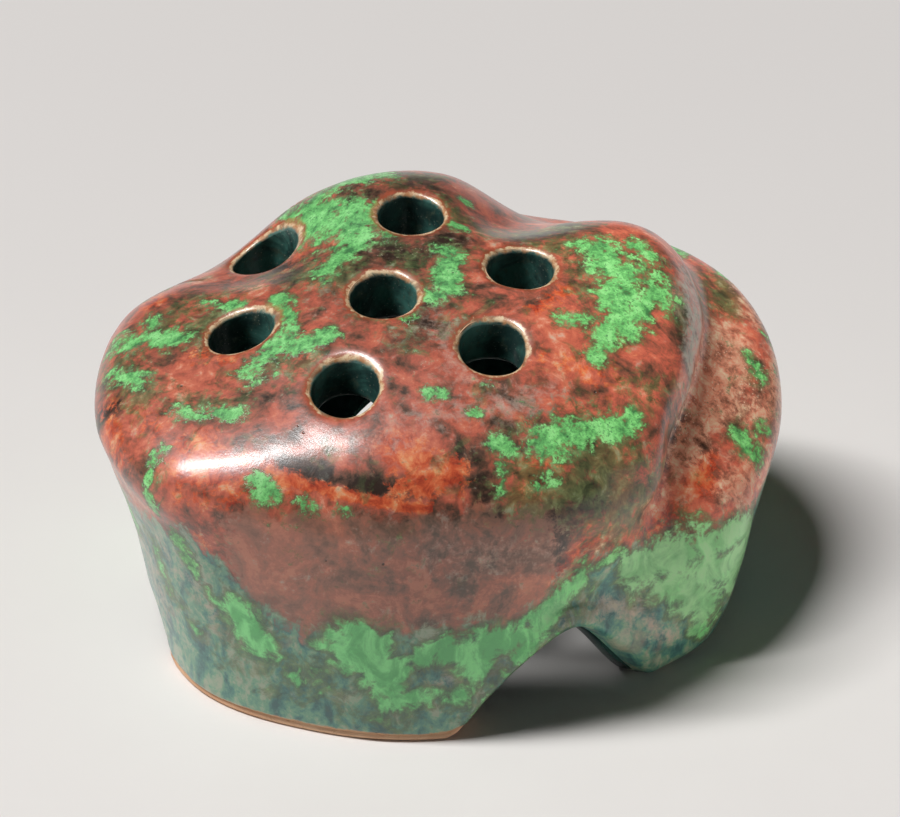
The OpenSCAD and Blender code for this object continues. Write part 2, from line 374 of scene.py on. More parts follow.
def grid_faces(rows, columns):
    """Quads of a grid that closes on itself round its columns."""
    turn = [(j, (j + 1) % columns) for j in range(columns)]
    return [[a + j, a + k, a + columns + k, a + columns + j]
            for a in range(0, (rows - 1) * columns, columns) for j, k in turn]


def flipped(faces):
    return [f[::-1] for f in faces]


# ---------- the outer coat and linings
COLUMNS = 288
CIRCLE = 96
COAT_ROWS = 105
ANGLE = np.linspace(0, 2 * math.pi, CIRCLE, endpoint=False)
RING = np.stack([np.cos(ANGLE), np.sin(ANGLE)], 1)
CUT_R = 7.5
CUT_SPARE = 1.4
RIM_ROLL = 2.0
RIM_DROP = 1.1
RIM_SLOPE_REACH = 4.5
RIM_RINGS = 6
BORE_ROWS = 21
UNDER_FILLET = 0.9
CAP_EDGE_KNOT = 6.2
CAP_SPACING = 0.78
EDGE_ROLL = 0.8
EDGE_ROWS = [0, 0.05, 0.15, 0.3, 0.5, 0.8, 1.2]
OVERLAP_UNDER_FOOT = 0.8
SINK = 0.05


def uneven(points):
    """How far the hand-made surface falls inside the drawn one."""
    slow = 0.17 * (1 + waves(points, 11, 15))
    quick = 0.05 * (1 + waves(points, 12, 5.5, 14))
    return np.clip(slow + quick, 0, 0.5)


def rolled(distance):
    """How much of its full thickness a coat has, at a distance from its rounded edge."""
    return np.sqrt(np.clip(1 - (1 - np.clip(distance / EDGE_ROLL, 0, 1)) ** 2, 0, 1))


def rows_from_edge(total, count):
    """Distances from a coat's edge: close together at the edge, then even, to the total."""
    even = np.linspace(0, 1, count + 1)[1:, None]
    close = np.array(EDGE_ROWS)[:, None] + 0 * total
    return np.concatenate([close, EDGE_ROWS[-1] + (total - EDGE_ROWS[-1]) * even])


def reach_of_holes(azimuths):
    """Radius that clears every hole's cut, at each azimuth."""
    reach = np.zeros_like(azimuths)
    for centre in HOLES.values():
        away = np.radians(azimuths - math.degrees(math.atan2(centre[1], centre[0])))
        distance = np.hypot(*centre)
        inside = (CUT_R + CUT_SPARE) ** 2 - (distance * np.sin(away)) ** 2
        far = distance * np.cos(away) + np.sqrt(np.clip(inside, 0, None))
        reach = np.maximum(reach, np.where((inside > 0) & (np.cos(away) > 0), far, 0))
    return reach


def cap_edge(profile):
    """Length down each column to the line where the upright grid meets the level one."""
    plain, _ = knots(OUTSIDE, OUTSIDE_TOP, profile.az)
    r = np.maximum(along(plain, CAP_EDGE_KNOT + 0 * profile.az), reach_of_holes(profile.az))
    kernel = np.exp(-np.linspace(-2, 2, 17) ** 2)
    wide = np.concatenate([r[-8:], r, r[:8]])
    r = np.maximum(np.convolve(wide, kernel / kernel.sum(), "valid"), r)
    lengths = []
    for j in range(len(profile.az)):
        grows = np.argmax(np.diff(profile.r[:profile.n_out, j]) < 0) or profile.n_out - 1
        lengths.append(np.interp(r[j], profile.r[:grows + 1, j], profile.length[:grows + 1, j]))
    return np.array(lengths)


def coat_grid(profile):
    """Rows of the outer coat from its lower edge up to the cap's line."""
    lip = profile.length[profile.n_out - 1]
    round_the_foot = np.stack([profile.az * 0.75, 0 * profile.az, 0 * profile.az], 1)
    bare = 0.1 + 0.3 * waves(round_the_foot, 3, 14) + 0.14 * waves(round_the_foot, 4, 2.5, 14)
    edge = ((lip - np.clip(bare, -0.5, 0.8)) * (1 - profile.full)
            + (profile.middle_under() + OVERLAP_UNDER_FOOT) * profile.full)
    distance = rows_from_edge(edge - cap_edge(profile), COAT_ROWS)
    points, normals, clay, face = profile.surface(edge - distance)
    dip = uneven(points.reshape(-1, 3)).reshape(distance.shape)[..., None] * np.clip(clay / COAT_T, 0, 1)
    back = points - normals * (clay + SINK)
    front = points - normals * clay + normals * (clay + face - dip) * rolled(distance)[..., None]
    return front, back, distance


def cap_normals(x, y):
    d = 0.2
    zx = (cap_height(x + d, y) - cap_height(x - d, y)) / (2 * d)
    zy = (cap_height(x, y + d) - cap_height(x, y - d)) / (2 * d)
    n = np.stack([-zx, -zy, np.ones_like(zx)], -1)
    return n / np.linalg.norm(n, axis=-1, keepdims=True)


def on_cap(x, y):
    """Uneven cap surface and the coat's back under it, at plan positions."""
    flat = np.stack([x, y, cap_height(x, y)], -1)
    n = cap_normals(x, y)
    away = np.min([np.hypot(x - c[0], y - c[1]) for c in HOLES.values()], 0) - HOLE_R
    near = smooth(1 - away / RIM_SLOPE_REACH)
    dip = uneven(flat) * (1 - near) + 0.15 * near
    front = flat.copy()
    front[:, 2] -= dip / n[:, 2]
    back = flat.copy()
    back[:, 2] -= (COAT_T + SINK) / n[:, 2]
    return front, back


def inside_polygon(points, polygon):
    x, y = points.T
    inside = np.zeros(len(points), bool)
    for (x1, y1), (x2, y2) in zip(polygon, np.roll(polygon, -1, 0)):
        crosses = (y1 > y) != (y2 > y)
        with np.errstate(divide="ignore", invalid="ignore"):
            at = (x2 - x1) * (y - y1) / (y2 - y1) + x1
        inside ^= crosses & (x < at)
    return inside


def far_from(points, others, distance):
    away = [np.hypot(points[:, 0] - x, points[:, 1] - y) for x, y in others]
    return np.min(away, 0) > distance


def level_points(ring):
    """Hexagonal lattice over the cap, clear of its edge and of the holes."""
    low, high = ring.min(0), ring.max(0)
    across = np.arange(low[0], high[0], CAP_SPACING)
    lattice = np.concatenate([
        np.stack([across + (r % 2) * CAP_SPACING / 2, 0 * across + low[1] + r * CAP_SPACING * 0.866], 1)
        for r in range(int((high[1] - low[1]) / (CAP_SPACING * 0.866)) + 1)])
    lattice = lattice[inside_polygon(lattice, ring)]
    for centre in HOLES.values():
        lattice = lattice[np.hypot(*(lattice - centre).T) > CUT_R + 0.35]
    return lattice[far_from(lattice, ring, 0.5)]


def cap_triangles(ring):
    """Plan positions over the cap, from its edge and the holes' cuts on, and their triangles."""
    flat = np.concatenate([ring] + [c + CUT_R * RING for c in HOLES.values()] + [level_points(ring)])
    firsts = [COLUMNS + k * CIRCLE for k in range(len(HOLES))]
    loops = [list(range(COLUMNS))] + [list(range(first, first + CIRCLE)) for first in firsts]
    edges = [(a, b) for loop in loops for a, b in zip(loop, loop[1:] + loop[:1])]
    result = delaunay_2d_cdt([Vector(p) for p in flat.tolist()], edges, [], 0, 1e-6, True)
    if len(result[0]) != len(flat):
        raise RuntimeError(f"the cap's triangulation has {len(result[0])} points, not {len(flat)}")
    source = [s[0] for s in result[3]]
    triangles = np.array([[source[v] for v in f] for f in result[2] if len(f) == 3])
    loop_of = np.full(len(flat), -1)
    for k, loop in enumerate(loops[1:]):
        loop_of[loop] = k
    owner = loop_of[triangles]
    in_a_hole = (owner[:, 0] >= 0) & (owner[:, 0] == owner[:, 1]) & (owner[:, 0] == owner[:, 2])
    triangles = triangles[inside_polygon(flat[triangles].mean(1), ring) & ~in_a_hole]
    a, b, c = (flat[triangles[:, k]] for k in range(3))
    turn = (b[:, 0] - a[:, 0]) * (c[:, 1] - a[:, 1]) - (b[:, 1] - a[:, 1]) * (c[:, 0] - a[:, 0])
    triangles[turn < 0] = triangles[turn < 0][:, ::-1]
    return flat, triangles


def round_hole(centre, r, z):
    return np.stack([centre[0] + r * RING[:, 0], centre[1] + r * RING[:, 1], z], 1)


def hole_rings(k, centre):
    """Rings over a rim and down its bore: surface, coat's back, lining's back and depth."""
    wobble = np.random.default_rng(40 + k)
    bore = HOLE_R + sum(wobble.normal() * 0.05 * np.cos(h * ANGLE + wobble.uniform(0, 6.3))
                        for h in (2, 3, 4))
    roll = RIM_ROLL + 0.15 * np.cos(ANGLE + wobble.uniform(0, 6.3))
    roll = roll + 0.1 * np.cos(3 * ANGLE + wobble.uniform(0, 6.3))
    split = np.arcsin(np.clip(1 - (DRILL_R - bore) / roll, 0, 1))
    turns = [0 * split - 1, 0 * split] + [split * f for f in (0.28, 0.55, 0.8, 1)]
    turns += [split + (math.pi / 2 - split) * f for f in (0.25, 0.5, 0.75, 1)]
    rings = []
    for i, t in enumerate(turns):
        r = bore + roll * (1 - np.sin(t)) if i else 0.45 * (bore + roll) + 0.55 * CUT_R
        cap, under = on_cap(*round_hole(centre, r, ANGLE).T[:2])
        drop = RIM_DROP * (1 - np.cos(t)) if i else 0 * roll
        cap[:, 2] -= drop
        done = max(0.0, (i - RIM_RINGS + 1) / 4)
        rings.append((cap, under, round_hole(centre, DRILL_R, cap[:, 2] - 0.25 * (1 - done)), drop))
    x, y, top = rings[-1][0].T
    roof = roof_height(*round_hole(centre, DRILL_R, ANGLE).T[:2])
    rows = []
    for level in np.linspace(0, 1, BORE_ROWS + 1)[1:]:
        z = top * (1 - level) + (roof + UNDER_FILLET) * level
        swell = 0.06 * waves(np.stack([x, y, z], 1), 60 + k, 5)
        rows.append((bore + swell * min(1, 4 * level) * (level < 1), z, z))
    for t in (0.3, 0.6, 0.85):
        z = roof + UNDER_FILLET * (1 - math.sin(t))
        rows.append((bore + UNDER_FILLET * (1 - math.cos(t)) * 1.1, z, z + 0.2))
    for r, z, lining_z in rows:
        surface = round_hole(centre, r, z)
        rings.append((surface, surface, round_hole(centre, DRILL_R, lining_z), RIM_DROP + (top - z)))
    return rings


def build_skin():
    """The whole glazed skin outside: points, backs, faces of each layer, and two of its fields."""
    front, coat_back, distance = coat_grid(Profile(COLUMNS))
    rows = len(front)
    start = rows * COLUMNS
    flat, triangles = cap_triangles(front[-1][:, :2])
    cap_front, cap_back = on_cap(flat[COLUMNS:, 0], flat[COLUMNS:, 1])
    count = start + len(cap_front)
    points = [front.reshape(-1, 3), cap_front]
    behind = [coat_back.reshape(-1, 3), cap_back]
    lining_back = list(behind)
    depth = [np.zeros(count)]
    coat_faces = grid_faces(rows, COLUMNS) + (triangles + start - COLUMNS).tolist()
    linings = {}
    for k, (name, centre) in enumerate(HOLES.items()):
        rings = hole_rings(k, centre)
        firsts = [start + k * CIRCLE] + [count + i * CIRCLE for i in range(len(rings))]
        bands = [[[a + m, a + (m + 1) % CIRCLE, b + (m + 1) % CIRCLE, b + m] for m in range(CIRCLE)]
                 for a, b in zip(firsts, firsts[1:])]
        coat_faces += sum(bands[:RIM_RINGS], [])
        linings[name] = sum(bands[RIM_RINGS:], [])
        for part, ring in zip((points, behind, lining_back, depth), zip(*rings)):
            part.append(np.concatenate(ring))
        count += len(rings) * CIRCLE
    points = np.concatenate(points)
    normals = vertex_normals(points, coat_faces + sum(linings.values(), []))
    edge = np.concatenate([distance.reshape(-1), np.full(len(points) - start, 99.0)])
    return dict(points=points, coat_back=np.concatenate(behind), lining_back=np.concatenate(lining_back),
                normals=normals, coat=coat_faces, linings=linings, depth=np.concatenate(depth), edge=edge)


# ---------- where the glazes lie
# Brushed patches on the cap: from x, y to x, y about the stations' axis, half width, strength.
CAP_STROKES = {
    "green": [
        [-22, 32, -10, 38, 3.5, 0.95], [-20, 29, -13, 22, 4.2, 1], [-14, 26, -12, 24, 4, 1],
        [-17, 12, -12, 17, 2.6, 0.95], [-7, 19, -6, 19, 1.5, 0.9], [-24, 7, -22, -2, 1.8, 1],
        [-21, -6, -16, -5, 1.6, 1], [-24, -4, -28, -9, 1.6, 0.85], [1, 14, 2, 5, 2.4, 1],
        [-1, 3, 0, 3, 1.6, 1], [3, 21, 4, 21, 1.3, 1], [4, 31, 5, 31, 1, 1], [-5, -2, -4, -2, 1, 0.9],
        [-44, 10, -43, 9, 1.8, 0.8], [-29, -12, -24, -10, 1.1, 0.7], [-49, 0, -45, -5, 2.2, 0.85],
        [-38, -14, -30, -17, 1.5, 0.85], [24, 17, 28, 9, 3.6, 1], [27, 10, 28, 1, 3.4, 1],
        [26, 0, 24, -6, 1.8, 1], [31, 19, 33, 17, 1.8, 0.95], [34, 13, 35, 7, 2.2, 0.9],
        [33, 9, 31, 5, 2.4, 0.95], [18, 0, 22, 0, 1.4, 0.75], [29, -14, 23, -18, 2, 1],
        [22, -18, 16, -21.5, 2.3, 1], [9, -23, 11, -24, 1.4, 1], [10, -25, 9, -29, 1, 0.8],
        [-1, -16.5, 1, -16.5, 1.1, 1], [5, -19, 6, -19, 0.7, 0.9], [17, -25, 15, -27, 1.2, 0.7],
        [-36, 12, -30, 8, 1.3, 0.7], [-28, 3, -29, -3, 1, 0.6], [-10, 8, -7, 6, 1.2, 0.6],
        [15, -27, 18, -26, 1, 0.8],
    ],
    "olive": [
        [-37, 5, -32, 8, 3, 0.9], [-48, 1, -44, -8, 3.6, 0.9], [22, -20, 30, -26, 6, 1],
        [30, -26, 34, -20, 4, 0.8], [-20, 14, -14, 8, 4, 0.9], [-26, -8, -18, -10, 4, 0.8],
        [1, 26, 8, 22, 3, 0.8], [36, 14, 38, 6, 3, 0.8], [-8, 34, 0, 38, 3, 0.7], [16, 16, 20, 18, 3, 0.8],
        [-4, 12, -3, 4, 4, 0.7], [-32, 14, -26, 17, 3, 0.7], [-12, 2, -4, -6, 3, 0.6],
        [8, 22, 20, 26, 4, 0.8], [-44, 6, -36, 14, 3, 0.7], [-38, -12, -30, -14, 3, 0.7],
        [12, -26, 20, -26, 4, 0.9], [20, 14, 22, 6, 2.5, 0.7], [2, 2, 3, -3, 2.5, 0.6],
        [28, -9, 34, -7, 2.6, 0.7],
    ],
    "orange": [
        [-36, -22, -30, -26, 3, 0.9], [-6, -25, -3, -27, 3.4, 0.95], [-36, -2, -30, -6, 3, 0.5],
        [-45, -10, -42, -16, 3.4, 0.55], [-30, 10, -20, 22, 2, 0.5], [15, 1, 20, 6, 1.6, 0.75],
        [16, -9, 28, -9, 3, 0.5], [8, -14, 2, -12, 2.4, 0.35], [-40, 8, -34, 12, 2, 0.4],
        [14, -25, 18, -24, 2.2, 0.85], [26, -4, 32, 2, 2.4, 0.5],
    ],
    "dark": [
        [5.5, -25, 6.5, -30, 1.8, 1], [-2, 13, 1, 18, 3, 0.7], [12, 20, 20, 24, 3, 0.7],
        [-26, -14, -18, -16, 3, 0.3], [-10, 30, -2, 32, 3, 0.7], [-36, 0, -33, 3, 3, 0.7],
        [4, -2, 8, 2, 2.5, 0.5], [-12, 17, -6, 14, 2.5, 0.7], [-12, 33, -2, 35, 2, 0.6],
        [-24, 20, -22, 14, 2, 0.6], [-2, 4, -1, -4, 2, 0.6],
    ],
    # haze: milky glaze, and painted light; the strokes from -8, -22 to 14, -16 paint a sheen by the front
    # holes, and the one from 36, 8 to 38, 19 paints a reflection on the cap's right edge
    "haze": [
        [-8, -22, 6, -18, 4, 0.5], [8, -18, 14, -16, 3, 0.7], [-18, 8, -14, 2, 3, 0.4],
        [-6, -6, 0, -4, 3, 0.4], [0, -2, 4, -12, 3, 0.6], [36, 8, 38, 19, 2, 0.8],
        [-12, -24, -6, -24, 3, 0.5], [12, -18, 18, -12, 2.5, 0.5],
    ],
    # painted glints: pale specks where the lamp catches the glaze, near the holes
    "frost": [
        [-8, 14, -2, 14, 2.5, 0.5], [0, 10, 6, 8, 2, 0.5], [-14, 20, 2, 20, 3, 0.35],
        [-6, -14, 4, -8, 3, 0.35],
    ],
}
# The same on the walls: from azimuth, height to azimuth, height.
WALL_STROKES = {
    "green": [
        [-110, 17.5, -102, 13, 4, 1.1], [-104, 12, -100, 8, 2.6, 1], [-135, 20, -131, 15, 3, 1],
        [-92, 15, -88, 18, 2, 1], [-97, 8, -93, 8, 2, 1], [-88, 16, -80, 14, 2.6, 1],
        [-147, 30, -144, 25, 1.6, 0.95], [-141, 21, -138, 19, 1.6, 0.85], [-124, 10, -122, 9, 1.2, 0.8],
        [-90, 9, -84, 8, 2, 0.8], [-80, 16, -64, 17, 2.6, 1], [-62, 18, -50, 23, 2.3, 1],
        [-46, 24, -38, 25, 1.6, 0.75], [-34, 21, -14, 21, 3.6, 1], [-27, 16, -20, 11, 3.4, 1],
        [-20, 18, -13, 14, 4.5, 1], [-12, 21, -8, 16, 3, 0.95], [-23, 7, -20, 5, 1.8, 0.9],
        [0, 32, -2, 29, 1.6, 1], [16, 37, 13, 35, 1.2, 0.9], [22, 36, 21, 33, 1.4, 0.95],
        [36, 39, 39, 38, 1.6, 0.7], [3, 31, 4, 30, 1.4, 0.8], [-154, 43, -150, 34, 1.1, 0.9],
        [-73, 11, -68, 8, 1.6, 0.7], [-133, 42.8, -130, 41.4, 1.7, 1], [-123, 41, -121, 40, 1.1, 0.75],
        [-114, 40, -112, 39.4, 0.9, 0.8], [-158, 24, -154, 17, 2, 0.6], [-150, 15, -146, 12, 1.8, 0.6],
        [-69, 13, -58, 19, 2, 0.8], [-136, 12, -118, 9, 5, 0.45], [-60, 14, -46, 20, 3, 0.5],
        [-112, 5, -96, 4, 3, 0.45], [-82, 5, -76, 9, 3, 0.5],
    ],
    "olive": [
        [-44, 15, -34, 12, 2.6, 1], [-36, 34, -28, 36, 4, 0.8], [-120, 6, -100, 4, 3, 0.6],
        [-36, 8, -28, 5, 2.4, 0.8], [-86, 12, -76, 12, 1.8, 0.8], [-50, 20, -40, 22, 2.4, 0.8],
        [24, 42, 34, 42, 3, 0.7], [-4, 36, 4, 33, 3, 0.5], [-66, 40, -48, 40, 4, 0.9],
    ],
    "orange": [
        [-60, 25, -46, 31, 1.8, 0.8], [-46, 31, -38, 38, 1.6, 0.95], [-26, 27, -10, 31, 2.6, 0.8],
        [-38, 27, -28, 26, 1.6, 0.7], [-78, 22, -60, 24, 1.6, 0.75], [-80, 23, -79, 30, 0.9, 0.7],
        [-148, 42.5, -136, 43.6, 3, 0.9], [-136, 43.4, -127, 42.9, 1.6, 1],
        [-127, 42.9, -113, 41.7, 1.1, 1.05], [-113, 41.7, -92, 40, 0.9, 1.05], [-93, 43, -86, 44, 2.2, 1],
        [-99, 43, -94, 46, 2, 0.8], [-152, 33, -151, 29, 1, 0.9], [-172, 42, -160, 38, 3, 0.6],
        [-146, 39, -134, 40, 1.6, 0.6], [-104, 21, -98, 19, 1.3, 0.6], [-66, 40.5, -60, 41.5, 2.2, 0.85],
        [-6, 26, 0, 24, 3, 0.7], [-122, 22, -117, 20.5, 1, 0.85], [-96, 20, -91, 20, 1.2, 0.85],
        [-72, 24, -64, 26, 1.4, 0.8], [-52, 27, -50, 34, 0.9, 0.9], [-141, 33, -138, 29, 0.9, 0.7],
        [-10, 34, -4, 36, 1.6, 0.6],
    ],
    "dark": [
        # the strokes from azimuth -14 to -2 at heights 34 to 37, and from -20 to -8 at height 33, are painted
        # shade in the crease between the cap and the right lobe; the rest are dark glaze
        [-14, 34, -2, 37, 2.4, 0.8], [-79, 42, -74, 38, 1.5, 1], [-130, 44.6, -117, 43.4, 1.2, 0.9],
        [-117, 43.4, -99, 42.6, 1.2, 1], [-14, 13, -12, 6, 2, 0.6], [-95, 36, -80, 32, 4, 0.5],
        [-20, 33, -8, 33, 2, 0.5], [-56, 36, -44, 38, 3, 0.5], [-70, 30, -56, 34, 3, 0.4],
    ],
    # haze: milky glaze, and painted light; the strokes on the left wall, azimuth -170 to -138, paint a
    # reflection, and the one from azimuth 20 to 34 lifts the right lobe where the cap shades it
    "haze": [
        [-90, 33, -60, 31, 4, 0.4], [-170, 26, -158, 14, 5, 0.7], [-160, 30, -150, 22, 3, 0.5],
        [20, 34, 34, 36, 4, 0.7], [-146, 24, -138, 14, 2.6, 0.6], [-90, 10, -84, 12, 1.6, 0.7],
        [-56, 18, -44, 16, 2, 0.7], [-43, 16.5, -34, 14, 1.6, 0.9], [-34, 12, -28, 7, 1.6, 0.7],
    ],
    # painted glints: pale specks where the lamp catches the glaze, beside the crease, which also lift the
    # right lobe
    "frost": [
        [16, 40, 4, 38, 3.5, 1], [4, 38, -8, 35, 2.5, 1], [14, 36, 6, 34, 3, 0.8], [-10, 34, -20, 35, 2, 0.8],
    ],
    "tan": [
        [18, 39, 2, 36, 4, 1], [2, 36, -14, 33, 3, 0.9], [20, 33, 2, 31, 3.5, 0.85], [0, 29, -10, 27, 3, 0.8],
        [-18, 29, -30, 31, 2.4, 0.6], [26, 38, 36, 38, 2.5, 0.7], [-56, 24, -44, 30, 1.6, 0.5],
    ],
    "mint": [
        [-32, 19, -10, 19, 6, 1], [-24, 12, -10, 12, 5, 1], [-34, 16, -26, 8, 4, 0.9],
        [-60, 18, -46, 22, 3, 0.5],
    ],
    # sheen: grey along the cap's right flank, partly the glaze's own grey and partly a painted reflection
    "sheen": [
        [24, 46, 4, 44, 1.6, 0.9], [22, 47.5, 3, 45, 1.8, 0.9], [20, 49, 2, 46, 1.2, 0.8],
        [4, 44, -6, 40, 1.4, 0.8], [-6, 40, -18, 36, 1.2, 0.6],
    ],
}
# The line down to which the red glaze was brushed over the teal one: azimuth and height.
GLAZE_LINE = [
    [-165, 30], [-150, 31], [-141, 32], [-132, 24], [-124, 20], [-108, 20], [-94, 19.5], [-82, 20], [-70, 20],
    [-60, 22], [-48, 24.5], [-36, 25], [-22, 22.5], [-8, 23], [8, 23], [24, 19], [45, 22], [66, 17],
    [88, 20], [110, 24], [132, 19], [152, 23], [174, 27],
]
BEAD = 1.0
# Strokes where one photo can't show the walls: kind, how many, and their lowest and highest
UNSEEN = [("green", 34, 6, 46), ("orange", 14, 22, 46), ("dark", 8, 24, 46), ("haze", 5, 10, 44),
          ("olive", 8, 6, 46), ("frost", 4, 20, 40)]
UNSEEN_FROM, UNSEEN_TO = 26, 196
# The plain brown field across the front: the azimuths of its ends, and the height of its top
MATT_FROM, MATT_TO, MATT_TOP = -136, -58, 39


def wall_radius(azimuths, heights):
    """Radius of the wall outside at each azimuth and height."""
    r, z = knots(OUTSIDE, OUTSIDE_TOP, azimuths)
    low = 0 * azimuths
    return along(r, halved(low, low + WALL_WITHIN, lambda s: along(z, s) < heights))


def beads(strokes, on_the_wall):
    """Points along each stroke, on the surface."""
    for a1, b1, a2, b2, width, strength in strokes:
        count = 2 + int(math.hypot((a2 - a1) * (0.75 if on_the_wall else 1), b2 - b1) / BEAD)
        a = np.linspace(a1, a2, count)
        b = np.linspace(b1, b2, count)
        if on_the_wall:
            r = wall_radius(a, b)
            yield np.stack([r * np.cos(np.radians(a)), r * np.sin(np.radians(a)), b], 1), width, strength
        else:
            yield np.stack([a, b, cap_height(a, b)], 1), width, strength


def unseen_strokes(rng, count, low, high):
    """Seeded patches of the same kinds for the back and the far left."""
    rows = []
    for _ in range(count):
        azimuth, height = rng.uniform(UNSEEN_FROM, UNSEEN_TO), rng.uniform(low, high)
        rows.append([azimuth, height, azimuth + rng.uniform(-9, 9), height + rng.uniform(-5, 5),
                     rng.uniform(1.5, 4), rng.uniform(0.75, 1)])
    return rows


back_rng = np.random.default_rng(77)
for kind, *limits in UNSEEN:
    WALL_STROKES[kind] = WALL_STROKES[kind] + unseen_strokes(back_rng, *limits)


def brushed(points, kind):
    """1 along the middle of a stroke, 0.5 at its half width and 0 at twice that."""
    value = np.zeros(len(points))
    strokes = list(beads(CAP_STROKES.get(kind, []), False)) + list(beads(WALL_STROKES[kind], True))
    for line, width, strength in strokes:
        low, high = line.min(0) - 2 * width, line.max(0) + 2 * width
        near = np.nonzero(np.all((points > low) & (points < high), 1))[0]
        if len(near) == 0:
            continue
        away = np.linalg.norm(points[near][:, None] - line[None], axis=2)
        reach = 2 * width * (1 + 0.3 * waves(line, 31, 5, 14))
        value[near] = np.maximum(value[near], strength * np.clip(1 - away / reach, 0, 1).max(1))
    return value


def azimuths_of(points):
    return np.degrees(np.arctan2(points[:, 1], points[:, 0]))


def below_the_line(points):
    """Millimetres below the line between the two glazes."""
    return around([[a, [h, 0]] for a, h in GLAZE_LINE], 0, 0, azimuths_of(points)) - points[:, 2]


def matt_field(points):
    """1 well inside the plain brown field across the front, 0 outside it."""
    azimuths = azimuths_of(points)
    across = np.minimum(azimuths - MATT_FROM, MATT_TO - azimuths) / 10
    up = (MATT_TOP + 1.5 * waves(points, 41, 6, 6) - points[:, 2]) / 3
    return np.clip(0.5 + np.minimum(across, up), 0, 1)


def from_rim(points, depth):
    """Millimetres out from a hole's edge, along the surface; negative down the hole."""
    away = np.min([np.hypot(points[:, 0] - c[0], points[:, 1] - c[1]) for c in HOLES.values()], 0)
    away = np.where(points[:, 2] > 20, away - HOLE_R, 99)
    return np.minimum(away, 20) - depth


# ---------- pieces
PLAIN_COLUMNS = 144
HOLLOW_ROWS = 63
HOLLOW_EDGE_UP = 0.9
DRILL_FROM = BORE_BOTTOM - 6
DRILL_TO = 66


def drilled(obj):
    """Cuts the seven bores out of a closed solid."""
    bpy.ops.object.select_all(action="DESELECT")
    drills = []
    for centre in HOLES.values():
        place = to_part([*centre, (DRILL_FROM + DRILL_TO) / 2])
        bpy.ops.mesh.primitive_cylinder_add(vertices=64, radius=DRILL_R * MM, location=place,
                                            depth=(DRILL_TO - DRILL_FROM) * MM)
        drills.append(bpy.context.object)
    for drill in drills:
        drill.select_set(True)
    bpy.context.view_layer.objects.active = drills[0]
    bpy.ops.object.join()
    cutter = bpy.context.object
    cut = obj.modifiers.new("bores", "BOOLEAN")
    cut.operation = "DIFFERENCE"
    cut.solver = "EXACT"
    cut.object = cutter
    graph = bpy.context.evaluated_depsgraph_get()
    mesh = bpy.data.meshes.new_from_object(obj.evaluated_get(graph))
    obj.modifiers.clear()
    obj.data = mesh
    bpy.data.objects.remove(cutter, do_unlink=True)
    mesh.polygons.foreach_set("use_smooth", [True] * len(mesh.polygons))
    mesh.set_sharp_from_angle(angle=math.radians(40))
    return obj


def clay_shell():
    profile = Profile(PLAIN_COLUMNS)
    clay = profile.points - profile.normals * profile.clay[..., None]
    lip_end = profile.n_out + profile.n_lip
    under_end = lip_end + profile.n_under
    back_end = under_end + profile.n_back
    spans = [(6, profile.n_out, 4), (profile.n_out, lip_end, 1), (lip_end, under_end, 3),
             (under_end, back_end, 1), (back_end, len(clay) - 4, 3)]
    rows = clay[[i for span in spans for i in range(*span)]]
    top = rows.shape[0] * PLAIN_COLUMNS
    points = np.concatenate([rows.reshape(-1, 3), [[0, 0, OUTSIDE_TOP - COAT_T - 0.1], [0, 0, HOLLOW_TOP]]])
    faces = flipped(grid_faces(len(rows), PLAIN_COLUMNS))
    last = top - PLAIN_COLUMNS
    for j in range(PLAIN_COLUMNS):
        k = (j + 1) % PLAIN_COLUMNS
        faces += [[top, j, k], [top + 1, last + k, last + j]]
    return drilled(make_mesh("clay_shell", points, faces))


def hollow_glaze():
    profile = Profile(PLAIN_COLUMNS)
    wall_start = profile.length[profile.n_out + profile.n_lip + profile.n_under + profile.n_back - 1]
    edge = ((wall_start + HOLLOW_EDGE_UP) * (1 - profile.full)
            + (profile.middle_under() - OVERLAP_UNDER_FOOT) * profile.full)
    distance = rows_from_edge(profile.length[-4] - edge, HOLLOW_ROWS)
    points, normals, clay, face = profile.surface(edge + distance)
    front = points - normals * clay + normals * (clay + face) * rolled(distance)[..., None]
    back = points - normals * (clay + SINK)
    n = distance.size + 1
    points = np.concatenate([front.reshape(-1, 3), [[0, 0, HOLLOW_TOP - CAVITY_COAT_T]],
                             back.reshape(-1, 3), [[0, 0, HOLLOW_TOP + SINK]]])
    seen = flipped(grid_faces(len(distance), PLAIN_COLUMNS))
    last = n - 1 - PLAIN_COLUMNS
    seen += [[last + (j + 1) % PLAIN_COLUMNS, last + j, n - 1] for j in range(PLAIN_COLUMNS)]
    behind = [[v + n for v in reversed(f)] for f in seen]
    sides = [[j, (j + 1) % PLAIN_COLUMNS, (j + 1) % PLAIN_COLUMNS + n, j + n] for j in range(PLAIN_COLUMNS)]
    return drilled(make_mesh("hollow_glaze", points, seen + behind + sides))


